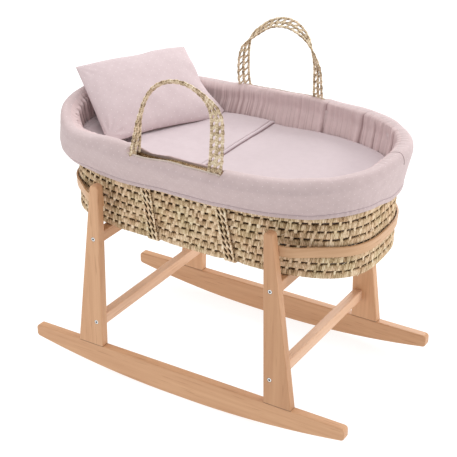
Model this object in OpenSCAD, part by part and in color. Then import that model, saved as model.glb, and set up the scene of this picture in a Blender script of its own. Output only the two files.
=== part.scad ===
// Rocking stand for a moses basket, with the dressed basket that rests in it.
// Millimetres, +Z up. X runs along the length of the basket (head end at -X),
// Y across it. The origin lies on the floor, midway between the two rockers.

/* [Rockers] */
// Length of each rocker board
rocker_len = 840; // [780:10:900]
// Height of the straight top edge of the rockers above the floor
rocker_top = 66; // [62:1:72]
// Height of the underside of the rocker at its two ends
rocker_rise = 36; // [30:1:38]
// Half length of the small level part under the middle of each rocker
rocker_flat = 24; // [10:2:40]
// Thickness of every board of the two side frames
board_t = 22; // [18:1:26]
// Width over the outer faces of the two side frames
frame_w = 465; // [455:1:475]

/* [Legs] */
// Height of the leg tops above the floor
leg_top = 486.5; // [478:0.5:492]
// Distance from the middle to the inner edge of a leg, at its foot
leg_in_foot = 219.5; // [216:0.5:224]
// Distance from the middle to the outer edge of a leg, at its foot
leg_out_foot = 289; // [280:1:300]
// Distance from the middle to the inner edge of a leg, at its top
leg_in_top = 212.5; // [211:0.5:214]
// Distance from the middle to the outer edge of a leg, at its top
leg_out_top = 235; // [232:0.5:240]
// Rounding of the board edges
edge_r = 3; // [2:0.5:4]

/* [Cross bars] */
// Width of a cross bar, along the length of the stand
bar_w = 22; // [20:1:24]
// Height of a cross bar
bar_h = 28; // [27:0.5:30]
// Distance from the middle to the lower cross bars
lower_x = 234.5; // [233:0.5:238]
// Height of the middle of the lower cross bars
lower_z = 130; // [125:1:140]
// Distance from the middle to the upper cross bars
upper_x = 231.5; // [230:0.5:233]
// Height of the middle of the upper cross bars, which carry the basket
upper_z = 350.5; // [348:0.5:350.5]

/* [Fasteners] */
// Diameter of the bolt shank
bolt_d = 6; // [5:1:6]
// Diameter of the bolt head
bolt_head_d = 10.5; // [9:0.5:12]
// Diameter of the cross dowel nuts
nut_d = 10; // [9:1:10]
// Diameter of the wooden dowels in the ends of the cross bars
bar_dowel_d = 6; // [5:1:6]
// Diameter of the wooden dowels between the legs and the rockers
leg_dowel_d = 8; // [6:1:10]

/* [End hoops] */
// Distance of a hoop's outer face from the basket at the end
hoop_gap = 5.4; // [5:0.2:6]
// Thickness of the bent wood
hoop_t = 4; // [3.5:0.25:4]
// Height of the lower edge of the hoops, at the legs
hoop_z = 430; // [426:1:432]
// Height of the bent wood strip
hoop_h = 23; // [21:1:26]
// Slope of the hoops, down towards the ends
hoop_tilt = 4.5; // [0:0.5:5]

/* [Basket] */
// Height of the underside of the basket
basket_z = 365; // [365:0.5:366]
// Half length of the basket at its base
base_a = 382; // [380:1:383]
// Half width of the basket at its base
base_b = 190; // [186:1:191]
// Thickness of the woven wall and base
wall_t = 8; // [6:0.5:8]
// Height of the middle of the rim, at mid length
rim_z = 580; // [578:1:582]
// Distance from the middle to each foot of a carrying handle
handle_x = 97; // [94:1:99]
// Distance from the middle to the line on which a handle folds
handle_y = 228; // [227:0.5:229]
// Height of the line on which a handle folds
handle_z = 609; // [609:0.5:611]
// Height of the handle's arch above that line
handle_rise = 166; // [150:2:166]
// Width of the flat plaited handle
handle_w = 26; // [22:1:28]
// Thickness of the plaited handle
handle_t = 10; // [8:0.5:10]

/* [Bedding] */
// Height of the top of the mattress
mattress_z = 534; // [530:1:534]
// Thickness of the coverlet
coverlet_t = 5.5; // [4:0.5:5.5]
// Position of the coverlet's free edge along the basket
coverlet_x = -5; // [-20:1:0]
// Length of the pillow
pillow_l = 300; // [280:2:300]
// Height of the pillow from edge to edge
pillow_h = 194; // [180:2:194]
// Thickness of the pillow in its middle
pillow_t = 68; // [50:2:70]

/* [Hidden] */
$fn = 64;

beech = [0.83, 0.64, 0.46];
beech_pale = [0.86, 0.68, 0.50];
steel = [0.72, 0.72, 0.74];
palm = [0.84, 0.76, 0.58];
palm_pale = [0.88, 0.81, 0.64];
pink = [0.87, 0.80, 0.81];
pink_soft = [0.90, 0.84, 0.85];

y_out = frame_w / 2;                  // outer faces of the side frames
y_in = y_out - board_t;               // inner faces, where the bars end
y_mid = y_out - board_t / 2;
rocker_R = (pow(rocker_len / 2 - rocker_flat, 2) + pow(rocker_rise, 2)) / (2 * rocker_rise);
bolt_grip = 55;                       // shank length under the head
nut_y = y_in - 28;                    // line of the cross dowel nuts
dowel_up = 8.5;                       // bar dowels above the bolt line
leg_dowel_x = [237, 271];
hoop_screw_x = 222;
hoop_screw_z = [hoop_z + 6, hoop_z + hoop_h - 6];
hoop_level = 440;                     // level of the basket the hoops follow
fit = 0.05;                           // radial room of a dowel or nut in its hole

// ------------------------------------------------------------ helpers
function sgn(v) = v < 0 ? -1 : 1;
function spow(v, p) = sgn(v) * pow(abs(v), p);
function clamp0(v) = v < 0 ? 0 : v;

// mirrored copy for the left (sx = -1) or front (sy = -1) side
module side(sx, sy) {
    mirror([sx < 0 ? 1 : 0, 0, 0]) mirror([0, sy < 0 ? 1 : 0, 0]) children();
}

// cylinder along +Y from y0 to y1
module rod_y(x, y0, y1, z, d) {
    translate([x, y0, z]) rotate([-90, 0, 0]) cylinder(d = d, h = y1 - y0);
}

// flat disc standing in the XZ plane with rounded rims, used to round boards
module puck(r, t, e) {
    prof = concat([[0, 0]],
                  [for (a = [-90:22.5:0]) [r - e + e * cos(a), e + e * sin(a)]],
                  [for (a = [0:22.5:90]) [r - e + e * cos(a), t - e + e * sin(a)]],
                  [[0, t]]);
    rotate([-90, 0, 0]) rotate_extrude($fn = 32) polygon(prof);
}

// ------------------------------------------------------------ stand
// underside of the rocker: level in the middle, then a long arc
function rocker_bottom(x) =
    let (d = clamp0(abs(x) - rocker_flat)) rocker_R - sqrt(rocker_R * rocker_R - d * d);

module rocker_board() {
    r = 9;
    half = rocker_len / 2 - r;
    n = 11;
    difference() {
        translate([0, y_in, 0]) hull() {
            for (s = [-1, 1]) {
                translate([s * half, 0, rocker_top - r]) puck(r, board_t, edge_r);
                for (i = [0:n])
                    let (x = rocker_flat + (half - rocker_flat) * i / n)
                    translate([s * x, 0, rocker_bottom(x) + r]) puck(r, board_t, edge_r);
            }
        }
        for (s = [-1, 1]) for (x = leg_dowel_x)
            translate([s * x, y_mid, rocker_top - 26])
                cylinder(d = leg_dowel_d + 2 * fit, h = 30);
    }
}

module leg_board() {
    r = 8.5;
    e = edge_r;
    difference() {
        hull() {
            for (x = [leg_in_foot + e, leg_out_foot - e]) for (y = [y_in + e, y_out - e])
                translate([x, y, rocker_top]) cylinder(r = e, h = 1, $fn = 24);
            for (x = [leg_in_top + r, leg_out_top - r])
                translate([x, y_in, leg_top - r]) puck(r, board_t, e);
        }
        // bolt holes with a seat for the head, and the bar dowel holes
        for (p = [[lower_x, lower_z], [upper_x, upper_z]]) {
            rod_y(p[0], y_in - 1, y_out + 1, p[1], bolt_d + 0.5);
            rod_y(p[0], y_out - 5, y_out + 1, p[1], bolt_head_d + 0.5);
            rod_y(p[0], y_in - 1, y_in + 12, p[1] + dowel_up, bar_dowel_d + 2 * fit);
        }
        // dowel holes in the foot
        for (x = leg_dowel_x)
            translate([x, y_mid, rocker_top - 1])
                cylinder(d = leg_dowel_d + 2 * fit, h = 27);
        // shallow housing for the hoop, and its screw holes
        hoop_slope() translate([0, 0, -0.2]) linear_extrude(hoop_h + 0.4) polygon(hoop_line(fit));
        for (z = hoop_screw_z) rod_y(hoop_screw_x, y_in - 6, y_in + 16, z, 3.2);
    }
}

module cross_bar(x, z) {
    e = edge_r;
    difference() {
        translate([x, y_in, z]) rotate([90, 0, 0]) linear_extrude(2 * y_in) union() {
            square([bar_w - 2 * e, bar_h], center = true);
            square([bar_w, bar_h - 2 * e], center = true);
            for (sx = [-1, 1]) for (sz = [-1, 1])
                translate([sx * (bar_w / 2 - e), sz * (bar_h / 2 - e)]) circle(r = e, $fn = 32);
        }
        for (s = [-1, 1]) side(1, s) {
            rod_y(x, y_in - 41, y_in + 1, z, bolt_d + 0.5);
            rod_y(x, y_in - 20, y_in + 1, z + dowel_up, bar_dowel_d + 2 * fit);
            translate([x, nut_y, z - bar_h / 2 - 1]) cylinder(d = nut_d + 2 * fit, h = bar_h / 2 + 10.5);
        }
    }
}

// The hoops follow the outline of the basket: close to it round the end, and
// swung out at the sides to lie against the inner faces of the legs.
function hoop_off(x) = hoop_gap + 24.65 * exp(-pow((x - 226) / 60, 2));
function hoop_point(t, d) =
    let (w = on_wall(t, hoop_level, 0), p = on_wall(t, hoop_level, hoop_off(abs(w[0])) + d)) [p[0], p[1]];
hoop_turn = [for (i = [0:64]) -78 + 156 * i / 64];
function hoop_line(d) = [for (t = hoop_turn) hoop_point(t, d)];

// sloped place of a hoop: it turns about the line where it leaves the legs
module hoop_slope() {
    translate([hoop_screw_x, 0, hoop_z]) rotate([0, hoop_tilt, 0]) translate([-hoop_screw_x, 0, 0]) children();
}

module hoop() {
    strip = concat(hoop_line(0), [for (i = [64:-1:0]) hoop_point(hoop_turn[i], -hoop_t)]);
    difference() {
        hoop_slope() linear_extrude(hoop_h) polygon(strip);
        // only the part outside the inner edges of the legs is kept
        translate([leg_in_top + 1.5 - 600, -300, hoop_z - 60]) cube([600, 600, hoop_h + 120]);
        for (s = [-1, 1]) side(1, s) for (z = hoop_screw_z) {
            rod_y(hoop_screw_x, y_in - 12, y_in + 4, z, 3.6);
            translate([hoop_screw_x, y_in - 8.7, z]) rotate([-90, 0, 0])
                cylinder(d1 = 13.4, d2 = 3.6, h = 8.6);
        }
    }
}

module bolt(x, z) {
    difference() {
        union() {
            rod_y(x, y_out - 5 - bolt_grip, y_out - 4, z, bolt_d);
            rod_y(x, y_out - 5, y_out - 0.8, z, bolt_head_d);
            translate([x, y_out - 0.8, z]) rotate([-90, 0, 0])
                cylinder(d1 = bolt_head_d, d2 = bolt_head_d - 1.6, h = 0.8);
        }
        translate([x, y_out - 3.2, z]) rotate([-90, 0, 0]) cylinder(d = 5.77, h = 5, $fn = 6);
    }
}

module barrel_nut(x, z) {
    difference() {
        translate([x, nut_y, z - 9]) cylinder(d = nut_d, h = 18);
        rod_y(x, nut_y - 8, nut_y + 8, z, bolt_d + 0.12);
        // screwdriver slot in the lower end
        translate([x - 0.75, nut_y - 6, z - 10]) cube([1.5, 12, 2.2]);
    }
}

module hoop_screw(z) {
    // countersunk head inside the hoop, shank through it into the leg
    translate([hoop_screw_x, y_in - 3, z]) rotate([-90, 0, 0]) {
        cylinder(d1 = 6.6, d2 = 3, h = 2.4);
        translate([0, 0, 2]) cylinder(d = 3, h = 16);
    }
}

module for_bars() { for (p = [[lower_x, lower_z], [upper_x, upper_z]]) for (sx = [-1, 1]) for (sy = [-1, 1]) { $px = p[0]; $pz = p[1]; side(sx, sy) children(); } }

module rocker_front() { color(beech) side(1, -1) rocker_board(); }
module rocker_back() { color(beech) rocker_board(); }
module leg_front_left() { color(beech) side(-1, -1) leg_board(); }
module leg_front_right() { color(beech) side(1, -1) leg_board(); }
module leg_back_left() { color(beech) side(-1, 1) leg_board(); }
module leg_back_right() { color(beech) leg_board(); }
module upper_bar_left() { color(beech) side(-1, 1) cross_bar(upper_x, upper_z); }
module upper_bar_right() { color(beech) cross_bar(upper_x, upper_z); }
module lower_bar_left() { color(beech) side(-1, 1) cross_bar(lower_x, lower_z); }
module lower_bar_right() { color(beech) cross_bar(lower_x, lower_z); }
module hoop_left() { color(beech_pale) side(-1, 1) hoop(); }
module hoop_right() { color(beech_pale) hoop(); }
module frame_bolts() { color(steel) for_bars() bolt($px, $pz); }
module barrel_nuts() { color(steel) for_bars() barrel_nut($px, $pz); }
module bar_dowels() { color(beech_pale) for_bars() rod_y($px, y_in - 19.5, y_in + 11.5, $pz + dowel_up, bar_dowel_d); }
module leg_dowels() {
    color(beech_pale) for (sx = [-1, 1]) for (sy = [-1, 1]) for (x = leg_dowel_x)
        side(sx, sy) translate([x, y_mid, rocker_top - 25]) cylinder(d = leg_dowel_d, h = 50);
}
module hoop_screws() {
    color(steel) for (sx = [-1, 1]) for (sy = [-1, 1]) for (z = hoop_screw_z)
        side(sx, sy) hoop_screw(z);
}

// ------------------------------------------------------------ basket
// The plan of the basket is a superellipse. h is a level of the wall as it is
// at mid length, where the rim is lowest; the rim rises towards the two ends.
nu = 96;                              // stations round the basket
function flare(h) = clamp0(h - 495);
function top_h(h) = h > 570 ? 570 : h;
function half_a(h) = base_a + 0.00046 * pow(flare(top_h(h)), 2);
function half_b(h) = base_b + 0.095 * (top_h(h) - 365) + 0.0033 * pow(flare(top_h(h)), 2);
function squareness(h) = 3.06 - 0.0014 * (top_h(h) - 365);
function rim_rise(x) = 17 * pow(x / 392, 2) - 7 * x / 392;
// how much of the rim's rise a level takes: none at the base, all at the rim
function share(h) = h < 365 ? 0 : h > 580 ? 1 : pow((h - 365) / 215, 1.5);

// point at station angle t, level h, offset o outwards from the wall's outside
function on_wall(t, h, o) =
    let (q = 2 / squareness(h),
         x = (half_a(h) + o) * spow(cos(t), q),
         y = (half_b(h) + o) * spow(sin(t), q))
    [x, y, h + share(h) * rim_rise(x) + basket_z - 365];

// outside of the wall at a distance x along the basket, in plan
function wall_y(x, h, o) =
    let (n = squareness(h)) (half_b(h) + o) * pow(1 - pow(abs(x) / (half_a(h) + o), n), 1 / n);

// closed tube through all stations: section is a list of [h, o]
module wall_ring(sections) {
    nv = len(sections[0]);
    pts = [for (i = [0:nu - 1]) for (p = sections[i]) on_wall(360 * i / nu, p[0], p[1])];
    faces = [for (i = [0:nu - 1]) for (j = [0:nv - 1])
             let (a = i * nv + j, b = i * nv + (j + 1) % nv,
                  c = ((i + 1) % nu) * nv + (j + 1) % nv, d = ((i + 1) % nu) * nv + j)
             each [[a, c, b], [a, d, c]]];
    polyhedron(pts, faces);
}

// stack of closed outlines, lowest first: each is [h, o, z]
module wall_stack(levels, m) {
    nl = len(levels);
    pts = [for (l = levels) for (i = [0:m - 1])
           let (p = on_wall(360 * i / m, l[0], l[1])) [p[0], p[1], l[2]]];
    faces = concat(
        [for (k = [0:nl - 2]) for (i = [0:m - 1])
         let (a = k * m + i, b = k * m + (i + 1) % m, c = (k + 1) * m + (i + 1) % m, d = (k + 1) * m + i)
         each [[a, c, b], [a, d, c]]],
        [[for (i = [0:m - 1]) i]],
        [[for (i = [m - 1:-1:0]) (nl - 1) * m + i]]);
    polyhedron(pts, faces);
}

module basket_wall() {
    outer = [365, 430, 495, 525, 550, 569];
    section = concat([for (h = outer) [h, 0]], [for (i = [len(outer) - 1:-1:0]) [outer[i], -wall_t]]);
    color(palm) wall_ring([for (i = [0:nu - 1]) section]);
}

module basket_base() {
    outline = [for (i = [0:nu - 1]) let (p = on_wall(360 * i / nu, 365, -wall_t - 0.4)) [p[0], p[1]]];
    color(palm) translate([0, 0, basket_z]) linear_extrude(wall_t) polygon(outline);
}

module basket_rim() {
    section = [for (a = [0:40:320]) [576.5 + 6.5 * sin(a), -wall_t / 2 + 6.5 * cos(a)]];
    color(palm_pale) wall_ring([for (i = [0:nu - 1]) section]);
}

// plaited strap stitched to the wall and passing under the base, one piece
// from rim to rim
module carry_strap(sx) {
    rise = rim_rise(sx * handle_x);
    t = 7.3;
    gap = 0.8;
    half = handle_w / 2;
    levels = [566, 550, 530, 510, 495, 430, 370];
    inner = [for (h = levels) [wall_y(handle_x - half, h, 0) + gap, h + share(h) * rise + basket_z - 365]];
    outer = [for (p = inner) [p[0] + t, p[1]]];
    zi = basket_z - 0.5;
    last = len(levels) - 1;
    back = concat(outer, [[outer[last][0] - 2, zi - t + 3], [outer[last][0] - 6, zi - t]]);
    front = [for (i = [len(back) - 1:-1:0]) [-back[i][0], back[i][1]]];
    inner_f = [for (p = inner) [-p[0], p[1]]];
    inner_b = [for (i = [last:-1:0]) inner[i]];
    outline = concat(back, front, inner_f,
                     [[-inner[last][0], zi], [inner[last][0], zi]], inner_b);
    translate([handle_x - half, 0, 0]) rotate([90, 0, 90]) linear_extrude(handle_w) polygon(outline);
}
module carry_strap_left() { color(palm_pale) side(-1, 1) carry_strap(-1); }
module carry_strap_right() { color(palm_pale) carry_strap(1); }

// padded liner: a skirt outside the wall, a roll over the rim and a pad inside.
// Along the handles the roll has a groove, in which the handles stand.
roll_o = 7.6;                         // middle of the roll, outside the wall
roll_r = 22;
function roll(a) = [580 + roll_r * sin(a), roll_o + roll_r * cos(a)];
function liner_section(groove) = concat(
    [[504, 12], [522, 13], [540, 15.5], [556, 21]],
    [for (a = [-25, 5, 35]) roll(a)],
    groove ? [[596, 21], [596.5, 12.5], [589.5, 10.4], [589.5, -5.4], [599.2, -6]]
           : [roll(60), roll(78), roll(90), roll(102), roll(120)],
    [for (a = [145, 180]) roll(a)],
    [[560, -18.5], [545, -20], [525, -20], [495, -20], [446, -20], [444, -17], [444, -11], [446, -9.6]],
    [[495, -9.6], [525, -9.6], [550, -9.6], [562, -9.8], [571, -12], [580, -12.2], [586, -7], [587, 0], [583, 9.2], [569, 10.4], [550, 10.4], [525, 10.4]],
    [[504, 10.4]]);

module liner() {
    color(pink) wall_ring([for (i = [0:nu - 1])
        let (p = on_wall(360 * i / nu, 580, roll_o)) liner_section(abs(p[0]) < 126)]);
}

module mattress() {
    z0 = basket_z + wall_t + 1;
    color(pink_soft) wall_stack([[372, -27, z0], [374, -22, z0 + 5], [450, -21.5, 450],
                                 [515, -21.5, mattress_z - 18], [527, -24.5, mattress_z - 5],
                                 [532, -36, mattress_z]], 72);
}

// thin cover lying on the head half of the mattress
module coverlet() {
    m = 60;
    a = half_a(532) - 40;
    b = half_b(532) - 40;
    q = 2 / squareness(532);
    t0 = acos(-pow(abs(coverlet_x) / a, 1 / q));
    outline = [for (i = [0:m]) let (t = t0 + (360 - 2 * t0) * i / m) [a * spow(cos(t), q), b * spow(sin(t), q)]];
    color(pink) translate([0, 0, mattress_z + 0.3]) linear_extrude(coverlet_t) polygon(outline);
}

// carrying handle: a flat plait bent to an arch that stands on the rim
function arch(t) =
    let (q = 2 / 2.5, up = pow(sin(t), q),
         x = spow(cos(t), q) * (handle_x + 11 * sin(162 * up)))
    [x, 0, handle_z + handle_rise * up];

module handle() {
    m = 40;
    w = handle_w / 2;
    h = handle_t / 2;
    sec = [[w, h - 2.5], [w - 2.5, h], [-w + 2.5, h], [-w, h - 2.5],
           [-w, -h + 2.5], [-w + 2.5, -h], [w - 2.5, -h], [w, -h + 2.5]];
    k = len(sec);
    path = concat([[handle_x, 0, handle_z - 2]],
                  [for (i = [0:m]) arch(1.5 + 177 * i / m)],
                  [[-handle_x, 0, handle_z - 2]]);
    n = len(path);
    pts = [for (i = [0:n - 1])
           let (d = i == 0 || i == n - 1 ? [0, 0, i == 0 ? 1 : -1]
                                         : path[i + 1] - path[i - 1],
                u = d / norm(d), r = [u[2], 0, -u[0]])
           for (s = sec) path[i] + r * s[0] + [0, s[1], 0]];
    faces = concat(
        [for (i = [0:n - 2]) for (j = [0:k - 1])
         let (a = i * k + j, b = i * k + (j + 1) % k, c = (i + 1) * k + (j + 1) % k, d = (i + 1) * k + j)
         each [[a, c, b], [a, d, c]]],
        [[for (j = [0:k - 1]) j]],
        [[for (j = [k - 1:-1:0]) (n - 1) * k + j]]);
    polyhedron(pts, faces);
}
module front_handle() { color(palm_pale) translate([0, -handle_y, 0]) handle(); }
module back_handle() { color(palm_pale) translate([0, handle_y, 0]) handle(); }

// pillow leaning on the head end, set askew; it is thickest in the middle and
// its sides pull in between the corners
pillow_mid = [-272, 66, 611];
pillow_turn = 63.5;                   // of its length, from +X towards +Y
pillow_lean = 38;                     // of its face, from the level
module pillow() {
    mu = 16;
    mv = 12;
    function in_u(u, v) = pillow_l / 2 * u * (1 - 0.035 * (1 - v * v));
    function in_v(u, v) = pillow_h / 2 * v * (1 - 0.05 * (1 - u * u));
    function thick(u, v) = 1.2 + (pillow_t / 2 - 1.2) * pow((1 - u * u) * (1 - v * v), 0.5);
    function grid(s) = [for (i = [0:mu]) for (j = [0:mv])
        let (u = sin(90 * (2 * i / mu - 1)), v = sin(90 * (2 * j / mv - 1)))
        [in_u(u, v), in_v(u, v), s * thick(u, v)]];
    w = mv + 1;
    g = (mu + 1) * w;
    rim = concat([for (i = [0:mu - 1]) i * w], [for (j = [0:mv - 1]) mu * w + j],
                 [for (i = [mu:-1:1]) i * w + mv], [for (j = [mv:-1:1]) j]);
    nr = len(rim);
    faces = concat(
        [for (i = [0:mu - 1]) for (j = [0:mv - 1])
         let (a = i * w + j, b = a + 1, c = a + w + 1, d = a + w) each [[a, c, d], [a, b, c]]],
        [for (i = [0:mu - 1]) for (j = [0:mv - 1])
         let (a = g + i * w + j, b = a + 1, c = a + w + 1, d = a + w) each [[a, d, c], [a, c, b]]],
        [for (i = [0:nr - 1]) let (a = rim[i], b = rim[(i + 1) % nr]) each [[a, b, g + b], [a, g + b, g + a]]]);
    color(pink_soft) translate(pillow_mid) rotate([0, 0, pillow_turn]) rotate([pillow_lean, 0, 0])
        polyhedron(concat(grid(1), grid(-1)), [for (f = faces) [f[0], f[2], f[1]]]);
}

rocker_front();
rocker_back();
leg_front_left();
leg_front_right();
leg_back_left();
leg_back_right();
upper_bar_left();
upper_bar_right();
lower_bar_left();
lower_bar_right();
hoop_left();
hoop_right();
frame_bolts();
barrel_nuts();
bar_dowels();
leg_dowels();
hoop_screws();
basket_wall();
basket_base();
basket_rim();
carry_strap_left();
carry_strap_right();
liner();
mattress();
coverlet();
front_handle();
back_handle();
pillow();
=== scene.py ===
"""Scene of the moses basket stand: finishes for the wooden stand, and the woven,
plaited and cloth pieces of the basket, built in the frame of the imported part.
The builders below work in millimetres; meshes are stored in metres."""

import math

import bmesh
import bpy
import numpy as np
from mathutils import Matrix, Vector


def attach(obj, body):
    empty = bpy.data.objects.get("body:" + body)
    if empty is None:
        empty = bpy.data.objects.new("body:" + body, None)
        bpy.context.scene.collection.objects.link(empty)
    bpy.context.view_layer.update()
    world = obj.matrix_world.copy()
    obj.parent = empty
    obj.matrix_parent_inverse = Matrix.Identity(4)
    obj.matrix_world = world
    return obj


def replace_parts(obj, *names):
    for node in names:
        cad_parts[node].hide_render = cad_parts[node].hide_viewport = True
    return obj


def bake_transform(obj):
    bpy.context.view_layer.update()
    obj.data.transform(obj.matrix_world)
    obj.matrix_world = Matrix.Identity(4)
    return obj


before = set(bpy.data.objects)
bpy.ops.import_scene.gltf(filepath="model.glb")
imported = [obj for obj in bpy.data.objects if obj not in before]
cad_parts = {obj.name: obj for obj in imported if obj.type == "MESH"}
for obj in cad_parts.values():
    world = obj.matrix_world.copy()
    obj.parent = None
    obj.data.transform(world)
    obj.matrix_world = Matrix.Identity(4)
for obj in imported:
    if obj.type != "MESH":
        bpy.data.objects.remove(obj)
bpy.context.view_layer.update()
scene = bpy.context.scene
TAU = 2 * math.pi


def made_from(seed):
    return np.random.default_rng(seed)


# ------------------------------------------------------------------ numbers
def unit(v):
    return v / np.maximum(np.linalg.norm(v, axis=-1, keepdims=True), 1e-12)


def spow(v, p):
    return np.sign(v) * np.abs(v) ** p


def ease(x, a, b):
    t = np.clip((np.asarray(x, float) - a) / (b - a), 0, 1)
    return t * t * (3 - 2 * t)


def half_a(h):
    return 382 + 0.00046 * np.maximum(0, np.minimum(h, 570) - 495) ** 2


def half_b(h):
    hh = np.minimum(h, 570)
    return 190 + 0.095 * (hh - 365) + 0.0033 * np.maximum(0, hh - 495) ** 2


def squareness(h):
    return 3.06 - 0.0014 * (np.minimum(h, 570) - 365)


def on_wall(t, h, o):
    """Point at station angle t, level h and offset o from the outside of the wall."""
    t, h, o = np.broadcast_arrays(*(np.asarray(v, float) for v in (t, h, o)))
    q = 2 / squareness(h)
    x = (half_a(h) + o) * spow(np.cos(t), q)
    y = (half_b(h) + o) * spow(np.sin(t), q)
    share = np.clip((h - 365) / 215, 0, 1) ** 1.5
    # past the bars of the stand the lower rows hang down a little
    sag = end_sag(x) * np.clip(1 - (h - 365) / 170, 0, 1)
    # the rim stands a little higher along the back than along the front
    tall = np.interp(x, [-310, -245, -140, -104, 0, 95, 150, 230, 320, 392], [0, -7, -4, 4, 8, 11, 9, 8, 6, 0]) * ease(y, 40, 130)
    # and lowest round the front corner of the head end
    dip = (8.0 * ease(-x, 190, 265) + 9.0 * ease(-x, 255, 310)) * (1 - ease(-x, 330, 390)) * ease(-y, 30, 100)
    low = lift(x) * np.clip(1 - (h - 365) / 90, 0, 1)
    return np.stack([x, y, h + share * (17 * (x / 392) ** 2 - 7 * x / 392) + tall * share**2 - dip * share**6 - sag + low], -1)


STRAP_LEFT, STRAP_RIGHT = [-92, -101, -104], [108, 91, 94]


def lift(x):
    """Between the bars the base is drawn up a little, most where the straps pass under it."""
    x = np.asarray(x, float)
    pull = sum(5.0 * np.exp(-(((x - k[0]) / 24) ** 2)) for k in (STRAP_LEFT, STRAP_RIGHT))
    return 3.0 * (1 - ease(np.abs(x), 130, 235)) + pull


def end_sag(x):
    return 3.5 * ease(np.abs(x), 243, 340)


STATIONS = np.linspace(0, TAU, 24001)
_ring = on_wall(STATIONS, 480.0, 0.0)[:, :2]
WAY = np.concatenate([[0], np.cumsum(np.linalg.norm(np.diff(_ring, axis=0), axis=1))])
GIRTH = WAY[-1]


def wall(s, h, o):
    """The same, with s from 0 to 1 along the girth, from the foot end over the back."""
    return on_wall(np.interp(np.mod(s, 1.0) * GIRTH, WAY, STATIONS), h, o)


def wall_frame(s, h, o):
    """Point, direction along the row, outward normal and upward direction."""
    d = 3.0 / GIRTH
    along = unit(wall(s + d, h, o) - wall(s - d, h, o))
    out = unit(np.cross(along, wall(s, h + 5, o) - wall(s, h - 5, o)))
    return wall(s, h, o), along, out, np.cross(out, along)


def wall_y(x, h, o):
    n = squareness(h)
    return (half_b(h) + o) * (1 - (np.abs(x) / (half_a(h) + o)) ** n) ** (1 / n)


def wobble(seed, low, high, count=7):
    """A smooth closed wave along the girth, about -1 to 1, of low to high swings."""
    g = made_from(seed)
    k, p = g.integers(low, high + 1, count), g.uniform(0, TAU, count)

    def f(s):
        return sum(np.sin(TAU * a * s + b) for a, b in zip(k, p)) / math.sqrt(count)

    return f


def ripple(seed, longest, shortest, count=24):
    """A smooth wave over the plane, about -1 to 1, with wavelengths in mm."""
    g = made_from(seed)
    wave = np.exp(g.uniform(math.log(shortest), math.log(longest), count))
    way, p = g.uniform(0, TAU, count), g.uniform(0, TAU, count)
    share = (wave / longest) ** 0.6

    def f(x, y):
        return sum(
            c * np.sin(TAU * (x * math.cos(a) + y * math.sin(a)) / w + b)
            for c, w, a, b in zip(share, wave, way, p)
        ) / math.sqrt((share**2).sum())

    return f


# ------------------------------------------------------------------ meshes
def quads_of(n, m, close_n, close_m):
    i, j = np.meshgrid(
        np.arange(n if close_n else n - 1),
        np.arange(m if close_m else m - 1),
        indexing="ij",
    )
    a, b = (i + 1) % n, (j + 1) % m
    return np.stack([i * m + j, a * m + j, a * m + b, i * m + b], -1).reshape(-1, 4)


class Pile:
    """Grids of points gathered into one mesh."""

    def __init__(self):
        self.points, self.faces, self.tone, self.uv, self.n = [], [], [], [], 0

    def add(self, points, close_n=False, close_m=False, tone=0.5, uv=None, cap=False):
        n, m = points.shape[:2]
        q = quads_of(n, m, close_n, close_m)
        self.points.append(points.reshape(-1, 3))
        self.faces.append(q + self.n)
        self.tone.append(np.broadcast_to(tone, (n, m)).ravel())
        if uv is not None:
            i, j = np.meshgrid(
                np.arange(n if close_n else n - 1),
                np.arange(m if close_m else m - 1),
                indexing="ij",
            )
            c = [(i, j), (i + 1, j), (i + 1, j + 1), (i, j + 1)]
            self.uv.append(np.stack([uv[a, b] for a, b in c], -2).reshape(-1, 2))
        self.n += n * m
        if cap:
            for row in (points[0], points[-1]):
                self.points.append(row.mean(0)[None])
                self.tone.append(np.array([0.4 if cap is True else cap]))
            first, last = self.n - n * m, self.n - m
            j = np.arange(m)
            k = (j + 1) % m
            for base, middle in ((first, self.n), (last, self.n + 1)):
                even = j[::2]
                self.faces.append(
                    np.stack(
                        [
                            np.full(len(even), middle),
                            base + even,
                            base + (even + 1) % m,
                            base + (even + 2) % m,
                        ],
                        -1,
                    )
                )
            self.n += 2
        return self

    def build(self, name, material, body, slot, outward=True):
        me = bpy.data.meshes.new(name)
        co = np.concatenate(self.points).astype(np.float32) * 0.001
        q = np.concatenate(self.faces).astype(np.int32)
        me.vertices.add(len(co))
        me.vertices.foreach_set("co", co.ravel())
        me.loops.add(q.size)
        me.loops.foreach_set("vertex_index", q.ravel())
        me.polygons.add(len(q))
        me.polygons.foreach_set("loop_start", np.arange(0, q.size, 4, dtype=np.int32))
        me.update(calc_edges=True)
        me.attributes.new("tone", "FLOAT", "POINT").data.foreach_set(
            "value", np.concatenate(self.tone).astype(np.float32)
        )
        if self.uv:
            me.uv_layers.new(name="cut").data.foreach_set(
                "uv", np.concatenate(self.uv).astype(np.float32).ravel()
            )
        me.validate()
        if outward:
            bm = bmesh.new()
            bm.from_mesh(me)
            bmesh.ops.recalc_face_normals(bm, faces=bm.faces)
            bm.to_mesh(me)
            bm.free()
        me.shade_smooth()
        ob = bpy.data.objects.new(name, me)
        scene.collection.objects.link(ob)
        for mat in material if isinstance(material, list) else [material]:
            me.materials.append(mat)
        if body:
            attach(ob, body)
        return ob


def resample(path, step):
    """Points an even step apart along a line of points, and their distances."""
    d = np.concatenate([[0], np.cumsum(np.linalg.norm(np.diff(path, axis=0), axis=1))])
    n = max(4, int(round(d[-1] / step)) + 1)
    s = np.linspace(0, d[-1], n)
    return np.stack([np.interp(s, d, path[:, k]) for k in range(3)], -1), s


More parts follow.
